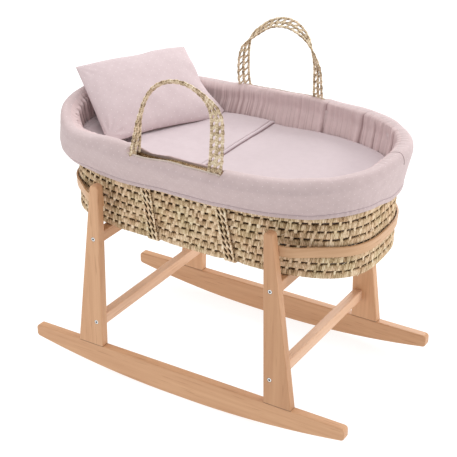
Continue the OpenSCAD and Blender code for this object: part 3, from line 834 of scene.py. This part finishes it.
def liner_piece():
    n = 1400
    s = np.arange(n) / n
    plain = np.array(HEM + TOP + PAD + HIDDEN)
    open_ = np.array(HEM + SLIT + PAD + HIDDEN_SLIT)
    m = len(plain)
    x0 = wall(s, 580.0, 7.6)[:, 0]
    w = (1 - ease(np.abs(x0), 104, 119))[:, None, None]
    # the slit narrows from its left to its right foot
    near = np.interp(x0, [-100, 0, 100], [0.2, 1.0, 1.7])
    pinch = np.zeros(m)
    k0 = len(HEM)
    pinch[k0 + 4 : k0 + 17] = np.interp(np.arange(13), [0, 4, 9, 12], [0.15, 1, 1, 0.4])
    back_ = np.array(HEM + SLIT_BACK + PAD + HIDDEN)
    is_back = (wall(s, 580.0, 7.6)[:, 1] > 0)[:, None, None]
    sec = plain[None] * (1 - w) + np.where(is_back, back_[None], open_[None]) * w
    near = near * ~is_back[:, 0, 0]
    # the roll is slimmer round the ends; at the head the skirt hangs full
    hh, oo = sec[..., 0].copy(), sec[..., 1].copy()
    slim = 0.4 * ease(np.abs(x0), 250, 392)[:, None]
    sec[..., 1] = np.where(oo > 11, 11 + (oo - 11) * (1 - slim), oo)
    full = ease(-x0, 170, 365)[:, None] * np.interp(hh, [505, 512, 522, 540, 556, 574], [7, 13, 19, 17, 9.5, 1.5])
    sec[:, : k0 + 2, 1] += full[:, : k0 + 2]
    y0 = wall(s, 580.0, 7.6)[:, 1]
    # the roll lies flatter round the front corner of the head end
    corner = (ease(-x0, 170, 270) * (1 - ease(-x0, 374, 393)) * ease(-y0, 10, 90))[:, None]
    over = np.zeros(m)
    over[k0 : k0 + 32] = np.sin(np.radians(np.clip(np.linspace(-16, 180, 32), 0, 180))) ** 1.5
    sec[..., 0] -= 8.0 * corner * over[None]
    sec[..., 1] += 5.0 * corner * over[None]
    # and falls away towards the inside all round that end
    fall = np.zeros(m)
    fall[k0 : k0 + 32] = np.sin(np.radians(2 * np.clip(np.linspace(-106, 90, 32), 0, 90)))
    fall = ease(-x0, 230, 350)[:, None] * fall[None]
    thin = pad_thin(x0, y0)[:, None]
    sec[..., 1] = np.where(oo < -11, -11 + (sec[..., 1] + 11) * (1 - 0.8 * thin), sec[..., 1])
    sec[..., 1] -= 5.0 * near[:, None] * pinch[None] * w[..., 0]
    # its lips are lower at the left foot
    lip_share, edge_share = np.zeros(m), np.zeros(m)
    lip_share[k0 : k0 + 16] = np.clip((open_[k0 : k0 + 16, 0] - 574) / 24, 0, 1)
    edge_share[k0 + 21 : k0 + 31] = [0.2, 0.5, 0.8, 1, 1, 1, 1, 1, 0.8, 0.3]
    drop = np.interp(x0, [-104, -75, -45, -17, 12, 42, 70, 92], [7.8, 6.5, 3.2, 1.3, 0.3, 2.4, 3.9, 5])[:, None] * lip_share[None]
    drop = drop + np.interp(x0, [-110, -90, -75, -55, -30], [0, 4, 5, 3, 0])[:, None] * edge_share[None]
    sec[..., 0] -= drop * w[..., 0] * ~is_back[..., 0]
    sec[..., 0] -= 7.0 * fall
    sec[..., 1] += 4.0 * fall
    ss = np.repeat(s[:, None], m, 1)
    pts = wall(ss, sec[..., 0], sec[..., 1])
    # at the head end the hem hangs level instead of rising with the rim
    low = np.interp(np.arange(m), [0, 9, 15, k0 + 4], [1, 1, 0.45, 0])
    low[-8:] = np.interp(np.arange(8), [0, 7], [0, 1])
    pts[..., 2] -= 17 * ease(-pts[..., 0], 190, 385) * low[None]
    # along the front it dips before the left strap and rises towards the foot end
    raised = np.interp(pts[..., 0], [-300, -260, -225, -190, -160, -120, -80, -50, 80, 115, 200, 290, 330, 360, 375, 388], [0, -2, -6.5, -6.5, -5, -2, 1, 3.2, 3.4, 5, 4.8, 6.8, 10.4, 12.3, 12.6, 11])
    pts[..., 2] += raised * ease(-pts[..., 1], -10, 60) * low[None]
    # softness, gathers and puckers, along the surface's own normal
    du = np.roll(pts, -1, 0) - np.roll(pts, 1, 0)
    dv = np.roll(pts, -1, 1) - np.roll(pts, 1, 1)
    nrm = unit(np.cross(dv, du))
    if (nrm[:, k0 + 5] * wall_frame(s, 560.0, 0.0)[2]).sum() < 0:
        nrm = -nrm
    girth = GIRTH * 1.06
    mm = s * girth
    soft = 0.9 * wobble(700, 4, 26)(s)[:, None] * np.interp(np.arange(m), [0, 6, k0 + 4, k0 + 30, k0 + 44, k0 + 46], [0.25, 0.25, 1, 1, 0.6, 0])[None]
    pucker = 0.35 * wobble(701, 120, 210, 12)(s)[:, None] * np.interp(np.arange(m), [1, 3, 6, 8, 12, 13], [0.5, 0.8, 1, 0.8, 0.2, 0])[None]
    # gathers on the inside: ridges with a sharp crease beside each
    g = made_from(702)
    gather = np.zeros((n, m))
    depth = np.interp(np.arange(m), [k0 + 11, k0 + 17, k0 + 24, k0 + 32, k0 + 42, k0 + 44, k0 + 45], [0, 0.3, 0.75, 1, 1, 0.7, 0])
    down = np.interp(np.arange(m), [k0 + 20, k0 + 44], [0, 1])
    at = 0.0
    while at < girth - 8:
        there = float(wall(np.array([at / girth]), 560.0, -15.0)[0, 0])
        end = abs(there) > 250
        size = g.uniform(1.2, 3.6) * (0.8 if not end else 2.2 if there < 0 else 1.1)
        wide = g.uniform(3.0, 7.0) * (1.0 if end else 0.8)
        lean = g.uniform(-9, 9) * (1.0 if end else 0.15)
        crease = 0.8 if end else 0.35
        d = mm[:, None] - at - lean * down[None]
        d = (d + girth / 2) % girth - girth / 2
        fade = np.clip(g.uniform(0.5, 1.2) + g.uniform(-0.5, 0.7) * down, 0, 1)
        gather += (size * np.exp(-((d / wide) ** 2)) - crease * size * np.exp(-(((d - 1.2 * wide) / (0.38 * wide)) ** 2))) * (depth * fade)[None]
        at += g.uniform(9, 17) if end else g.uniform(11, 26)
    # a few deep folds at the back of the foot end
    deep = np.zeros((n, m))
    for x, size, wide in ((118, 6.0, 8.0), (219, 7.0, 9.0), (322, 6.0, 8.0), (-42, 1.2, 6.0), (262, 3.0, 6.0)):
        k = np.argmin(np.abs(wall(s[: n // 2], 560.0, -19.0)[:, 0] - x))
        d = mm[:, None] - mm[k] - 4 * down[None]
        gather += (size * np.exp(-((d / wide) ** 2)) - 0.9 * size * np.exp(-(((d + 0.95 * wide) / (0.42 * wide)) ** 2))) * (depth * (0.35 + 0.65 * down))[None]
        deep += np.exp(-(((d + 0.95 * wide) / (0.3 * wide)) ** 2)) * (depth * (0.2 + 0.8 * down))[None] * size / 6.5
    late = np.interp(np.arange(m), [k0 + 22, k0 + 32], [0, 1])[None]
    shown = np.maximum(ease(wall(s, 580.0, 7.6)[:, 1], -90, 0)[:, None], late) * (1 - w[..., 0] * (1 - late) * ~is_back[..., 0])
    gather = gather * shown
    # a crease never reaches the weave behind it
    room = np.where(np.arange(m)[None] >= k0 + 24, -sec[..., 1] - 9.6, 4.0)
    gather = np.maximum(gather, -np.maximum(room, 0.3))
    pts = pts + nrm * (soft + pucker + gather)[..., None]
    v = np.concatenate([[0], np.cumsum(np.linalg.norm(np.diff(plain, axis=0), axis=1))])
    v = np.append(v, v[-1] + 5)
    uu = np.concatenate([mm, [girth]])
    uv = np.stack(np.broadcast_arrays(uu[:, None] / 1000, v[None] / 1000), -1)
    # painted shade: the inside is darker towards the bed, most of all at the head
    painted_shade_low = (0.1 + 0.4 * ease(-x0, 240, 340))[:, None] * ease(down, 0.4, 0.72)[None]
    painted_shade_low = painted_shade_low + (0.16 * ease(-x0, 260, 340))[:, None] * ease(down, 0.0, 0.35)[None]
    painted_shade_low = painted_shade_low + (0.26 * ease(-x0, 0, 110) * (1 - ease(-x0, 170, 240)) * (y0 > 0))[:, None] * ease(down, 0.1, 0.6)[None]
    fine = 0.1 * wobble(703, 160, 420, 16)(s)[:, None] * (depth > 0)[None]
    # painted light and shade: the inside is lighter on the ridges of the gathers, darker in their creases and darker
    # still in the deep folds
    pile = Pile().add(pts, True, True, np.clip(0.5 + (0.16 + 0.3 * ease(-x0, 200, 330)[:, None]) * gather + fine - 0.6 * deep - painted_shade_low, 0, 1), uv)
    ob = pile.build("padded_liner", [liner_cloth, inner_cloth, slit_shade_cloth], "basket", "liner_cloth", outward=False)
    # the inside of the liner is plain
    inside = np.zeros((n, m), np.int32)
    inside[:, k0 + 20 : k0 + len(TOP) + len(PAD)] = 1
    shut = np.flatnonzero(w[:, 0, 0] > 0.5)
    shut = shut[x0[shut] < 400]
    shut = shut[~is_back[shut, 0, 0]]
    # the inner face of the front slit gets the darker cloth: painted shade
    inside[shut[:, None], np.arange(k0 + 12, k0 + 26)[None]] = 2
    ob.data.polygons.foreach_set("material_index", inside.ravel())
    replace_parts(ob, "liner")
    # binding along the outer lip of each slit
    pile = Pile()
    lip = pts[:, k0 + 9]
    for side in (-1, 1):
        pick = (np.abs(x0) < 113) & (np.sign(lip[:, 1]) == side)
        line = lip[pick]
        line = line[np.argsort(line[:, 0])]
        line, _ = resample(line, 3.0)
        pile.add(tube(line + [0, 0, 0.5], 2.2), False, True, cap=True)
    # piped seam over the roll at the foot end, in a dark cloth: partly the seam, partly painted shade beside its raised
    # edge
    k = int(round(0.0115 * n))
    line, _ = resample(pts[k, k0 + 1 : k0 + 31], 2.0)
    seams = Pile().add(tube(line, 1.0), False, True, cap=True).build("liner_end_seam", seam_and_shade_cloth, "basket", "liner_cloth")
    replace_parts(seams, "liner")
    bind = pile.build("liner_slit_binding", edge_cloth, "basket", "liner_cloth")
    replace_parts(bind, "liner")
    # line of stitching round the hem
    line = pts[:, 7]
    ring = tube(np.concatenate([line[-2:], line, line[:2]]), 0.8)[2:-2]
    hem = Pile().add(ring, True, True).build("liner_hem_seam", hem_cloth, "basket", "liner_cloth")
    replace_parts(hem, "liner")
    return ob


# ------------------------------------------------------------------ bedding
BED_N = squareness(532.0)
_swell = ripple(800, 240, 60, 18)
DIP = (258, 63)


def bed_half(x, y):
    """Half length and half width of the bed, to the inside of the padding there."""
    o = 21.0 - 7.2 * pad_thin(x, y)
    return half_a(532.0) - o, half_b(532.0) - o


def bed_out(x, y):
    a, b = bed_half(x, y)
    return ((np.abs(x) / a) ** BED_N + (np.abs(y) / b) ** BED_N) ** (1 / BED_N)


def bed_top(x, y):
    f = bed_out(x, y)
    dip = 24.0 * np.exp(-(((x + DIP[0]) / 26) ** 2) - ((y + DIP[1]) / 20) ** 2)
    # it swells against the head end, and against the back beside the pillow
    dip = dip - 10.0 * ease(y, 110, 185) * np.interp(x, [-170, -131, -80, -50, 0, 30], [0, 0.5, 1, 0.9, 0.3, 0])
    return 536.0 - dip + 6.0 * ease(-x, 255, 330) + 19.0 * ease(-x, 308, 368) + 12.0 * ease(x, -60, 200) + 0.7 * _swell(x, y) - 4.5 * np.clip((f - 0.92) / 0.08, 0, 1.2) ** 2


def mattress_piece():
    n = 260
    s = np.arange(n) / n
    rim = wall(s, 532.0, -21.0)
    rim = wall(s, 532.0, -21.0 + 7.2 * pad_thin(rim[:, 0], rim[:, 1]))[:, :2]
    shares = np.concatenate([[1.0, 0.995, 0.985, 0.97, 0.95, 0.925, 0.9, 0.87], np.linspace(0.82, 0.04, 18)])
    grid = []
    for z, o in ((385.0, -30.0), (384.6, -26.0), (388.0, -22.6), (398.0, -21.6), (450.0, -21.3), (505.0, -21.2)):
        p = wall(s, 532.0 if z > 520 else z, o)
        grid.append(np.stack([p[:, 0], p[:, 1], np.full(n, z)], -1))
    for f in shares:
        x, y = rim[:, 0] * f, rim[:, 1] * f
        grid.append(np.stack([x, y, bed_top(x, y)], -1))
    pts = np.stack(grid)
    flip = pts.transpose(1, 0, 2)
    # painted shade: it is a little darker in the corner behind the pillow
    shade = 0.5 - 0.3 * ease(-pts[..., 0], 285, 335)
    pile = Pile().add(pts, False, True, shade, cap=0.5)
    ob = pile.build("mattress_cover", sheet_cloth, "basket", "sheet_cloth")
    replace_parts(ob, "mattress")
    return ob


def coverlet_piece():
    away = np.array([0, 0.5, 1.2, 2.2, 3.6, 5.2, 6.8, 8.2, 9.0, 9.8, 11.0, 13, 17, 23, 31, 41, 53, 67, 84, 104, 126, 150, 176, 204, 232, 258, 282, 304, 320, 332])
    thick = np.interp(away, [0, 0.5, 1.2, 2.2, 3.6, 6.8, 8.2, 9.0, 9.8, 11.0, 14, 30, 400], [2.8, 4.2, 5.2, 5.6, 5.8, 5.2, 3.0, 2.2, 3.0, 5.0, 5.6, 5.2, 5.0])
    across = np.linspace(-1, 1, 121)
    fold = ripple(820, 160, 40, 16)
    top, bottom = [], []
    for d, t in zip(away, thick):
        x = -6.0 + 2.0 * np.sin(2.6 * across + 0.4) + 7.0 * ease(across, 0.45, 1.0) * math.exp(-d / 60) - d
        a, b = bed_half(x, across * 200.0)
        reach = b * np.clip(1 - (np.abs(x) / a) ** BED_N, 0, 1) ** (1 / BED_N) * 0.988
        y = across * reach
        z = bed_top(x, y)
        puff = 0.5 * fold(x, y) * np.interp(d, [0, 12, 40], [0.2, 0.4, 1])
        top.append(np.stack([x, y, z + t + puff], -1))
        bottom.append(np.stack([x, y, z + 0.35], -1))
    top, bottom = np.array(top), np.array(bottom)
    ring = np.concatenate([top, bottom[::-1]])
    # as the mattress, painted shade makes it a little darker in the corner behind the pillow
    pile = Pile().add(ring, True, False, 0.5 - 0.3 * ease(-ring[..., 0], 285, 335))
    # close the two long sides
    for j in (0, -1):
        pile.add(np.stack([top[:, j], bottom[:, j]], 1))
    ob = pile.build("coverlet_sheet", cover_cloth, "basket", "coverlet_cloth")
    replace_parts(ob, "coverlet")
    # line of stitching in the groove of the hem, dark for the groove's shade as well: stitching and painted shade in
    # one
    row = int(np.argmin(np.abs(away - 9.0)))
    line, _ = resample(top[row, 2:-2] + [0, 0, 0.2], 3.0)
    # a dark cord along the foot of the free edge: painted shadow
    edge, _ = resample(bottom[0, 2:-2] + [1.2, 0, 0.7], 3.0)
    thread = Pile().add(tube(line, 1.3), False, True, cap=True).add(tube(edge, 1.4), False, True, cap=True).build("coverlet_stitching_and_painted_shadow", thread_and_shadow_cloth, "basket", "coverlet_cloth")
    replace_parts(thread, "coverlet")
    return ob


def pillow_piece():
    nu, nv = 81, 57
    u = np.sin(np.linspace(-1, 1, nu) * math.pi / 2)
    v = np.sin(np.linspace(-1, 1, nv) * math.pi / 2)
    uu, vv = np.meshgrid(u, v, indexing="ij")
    number = np.arange(nu * nv).reshape(nu, nv)
    under = number.copy()
    inner = np.zeros((nu, nv), bool)
    inner[1:-1, 1:-1] = True
    under[inner] = nu * nv + np.arange(inner.sum())
    x, y = 152 * uu, 98.5 * vv
    # its right side runs out towards the lower edge and is a little hollow
    x = x + (1 + uu) / 2 * (-1.5 - 10.0 * vv)
    hollow = np.interp(vv, [-1, -0.7, -0.45, -0.14, 0.42, 1], [0, -5, -12, -14, -5, 0])
    x = x + ((1 + uu) / 2) ** 3 * hollow
    # the upper edge is bowed, the lower one is full and rounded at its ends
    bow = np.interp(uu, [-1, -0.6, -0.39, -0.17, 0.05, 0.2, 0.39, 0.72, 0.94, 1], [0, 2.5, 2.2, 1.2, 0, 0.6, 3.6, 3.2, -0.6, -1.5])
    full = np.interp(uu, [-1, -0.95, -0.86, -0.72, -0.5, -0.2, 0.2, 0.5, 0.76, 0.9, 0.97, 1], [-4, -10, -14, -14, -9, -7, -9, -12, -14, -10, -4, 0])
    y = y + ((1 + vv) / 2) ** 3 * bow + ((1 - vv) / 2) ** 2 * full
    x = x - ((1 - uu) / 2) ** 2 * ((1 - vv) / 2) ** 1.5 * 7.0
    thick = 33.0 * ((1 - uu**2) * (1 - vv**2)) ** 0.47 * (1 - 0.1 * vv)
    # soft waves all over, and small folds that run out of the corners
    wave = ripple(830, 130, 45, 16)
    sides = []
    for k, sign in enumerate((1, -1)):
        fold = 0.0
        for cu, cv, size in ((-1, -1, 1.3), (1, -1, 0.9), (-1, 1, 0.8), (1, 1, 0.8)):
            dx, dy = x - 152 * cu, y - 98.5 * cv
            r, a = np.hypot(dx, dy), np.arctan2(dy, dx)
            fold = fold + size * np.sin(13 * a + 2.0 * cu + k) * np.exp(-((r - 26) / 24) ** 2)
        bulge = thick + (0.8 * wave(x, y + 300 * k) + fold) * np.clip(thick / 9, 0, 1)
        sides.append(np.stack([x, y, sign * np.maximum(bulge, 0.0)], -1))
    co = np.concatenate([sides[0].reshape(-1, 3), sides[1][inner]]) * 0.001
    faces = []
    for i in range(nu - 1):
        for j in range(nv - 1):
            faces.append((number[i, j], number[i + 1, j], number[i + 1, j + 1], number[i, j + 1]))
            faces.append((under[i, j], under[i, j + 1], under[i + 1, j + 1], under[i + 1, j]))
    me = bpy.data.meshes.new("pillow_cover")
    me.from_pydata(co.tolist(), [], [tuple(int(k) for k in f) for f in faces])
    flat = np.concatenate([np.stack([x, y], -1).reshape(-1, 2), np.stack([x, y], -1)[inner]]) * 0.001
    uvs = me.uv_layers.new(name="cut")
    corner = np.zeros(len(me.loops), np.int32)
    me.loops.foreach_get("vertex_index", corner)
    uvs.data.foreach_set("uv", flat[corner].astype(np.float32).ravel())
    ob = bpy.data.objects.new("pillow_cover", me)
    scene.collection.objects.link(ob)
    place = (
        Matrix.Translation((-0.272, 0.066, 0.611))
        @ Matrix.Rotation(math.radians(63.5), 4, "Z")
        @ Matrix.Rotation(math.radians(38), 4, "X")
    )
    turn = np.array(place.to_3x3())
    co = co @ turn.T + np.array(place.translation)
    me.vertices.foreach_set("co", co.astype(np.float32).ravel())
    me.update()
    me.shade_smooth()
    me.materials.append(pillow_cloth)
    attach(ob, "pillow")
    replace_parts(ob, "pillow")
    edge = np.concatenate([number[:, 0], number[-1, 1:], number[-2::-1, -1], number[0, -2:0:-1]])
    line = co[edge] * 1000
    pile = Pile()
    t = tube(np.concatenate([line[-2:], line, line[:2]]), 0.9)[2:-2]
    pile.add(t, True, True)
    seam = pile.build("pillow_seam", pillow_plain, "pillow", "pillow_cloth")
    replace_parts(seam, "pillow")
    # a dark cord along the lower edge, where it meets the coverlet: painted shadow
    low, _ = resample(co[number[2:-2, 0]] * 1000 + [0, 0, -1.0], 3.0)
    shadow_cord = Pile().add(tube(low, 1.6), False, True, cap=True).build("pillow_painted_shadow_cord", pillow_shadow_cord_cloth, "pillow", "pillow_cloth")
    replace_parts(shadow_cord, "pillow")
    return ob


wall_piece()
base_piece()
rim_piece()
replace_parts(strap_piece("carry_plait_left", STRAP_LEFT), "carry_strap_left")
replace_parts(strap_piece("carry_plait_right", STRAP_RIGHT), "carry_strap_right")
handle_piece("front_handle_plait", "front_handle", -228.0, FRONT_HANDLE, 33.0, 650, 0.95, 3.3, -0.11)
handle_piece("back_handle_plait", "back_handle", 228.0, BACK_HANDLE, 31.0, 660, 0.68, 2.9, -0.17)
liner_piece()
mattress_piece()
coverlet_piece()
pillow_piece()

# ------------------------------------------------------------------ room and light
floor = Nodes("pale_floor")
floor.colour((0.30, 0.30, 0.30))
floor.set(Roughness=0.9, Specular_IOR_Level=0.1)
floor.bsdf.inputs["Emission Color"].default_value = (1, 1, 1, 1)
floor.bsdf.inputs["Emission Strength"].default_value = 0.83
me = bpy.data.meshes.new("floor")
me.from_pydata([(-9, -9, -0.0006), (9, -9, -0.0006), (9, 9, -0.0006), (-9, 9, -0.0006)], [], [(0, 1, 2, 3)])
me.materials.append(floor.mat)
ground = bpy.data.objects.new("floor", me)
scene.collection.objects.link(ground)

world = bpy.data.worlds.new("pale_room")
world.use_nodes = True
world.node_tree.nodes["Background"].inputs["Color"].default_value = (1.0, 1.0, 1.0, 1)
world.node_tree.nodes["Background"].inputs["Strength"].default_value = 0.64
scene.world = world


def lamp(name, at, to, size, power, colour=(1, 1, 1)):
    data = bpy.data.lights.new(name, "AREA")
    data.shape, data.size, data.energy, data.color = "SQUARE", size, power, colour
    ob = bpy.data.objects.new(name, data)
    ob.location = at
    ob.rotation_euler = (Vector(to) - Vector(at)).to_track_quat("-Z", "Y").to_euler()
    scene.collection.objects.link(ob)
    return ob


lamp("top_softbox", (-0.3, -0.3, 3.0), (0, 0, 0.4), 2.2, 31)
lamp("back_softbox", (-0.3, 2.7, 2.0), (0, 0, 0.45), 1.8, 54)
lamp("right_softbox", (2.8, 1.3, 1.5), (0, 0, 0.4), 1.6, 39)
lamp("left_softbox", (-2.2, -2.4, 0.5), (0, 0, 0.42), 1.6, 13)

# ------------------------------------------------------------------ camera
az, el, away, roll = math.radians(31.094), math.radians(26.782), 2.8826, math.radians(0.159)
back = Vector((math.sin(az) * math.cos(el), -math.cos(az) * math.cos(el), math.sin(el)))
right = Vector((math.cos(az), math.sin(az), 0))
up = back.cross(right)
r2 = right * math.cos(roll) + up * math.sin(roll)
u2 = up * math.cos(roll) - right * math.sin(roll)
eye = Vector((-0.0079, -0.0048, 0.3395)) + back * away
data = bpy.data.cameras.new("camera")
data.lens, data.sensor_width = 96.906, 36.0
data.clip_start, data.clip_end = 0.1, 60
camera = bpy.data.objects.new("camera", data)
m = Matrix((r2, u2, back)).transposed().to_4x4()
m.translation = eye
camera.matrix_world = m
scene.collection.objects.link(camera)
scene.camera = camera
scene.view_settings.view_transform = "Standard"
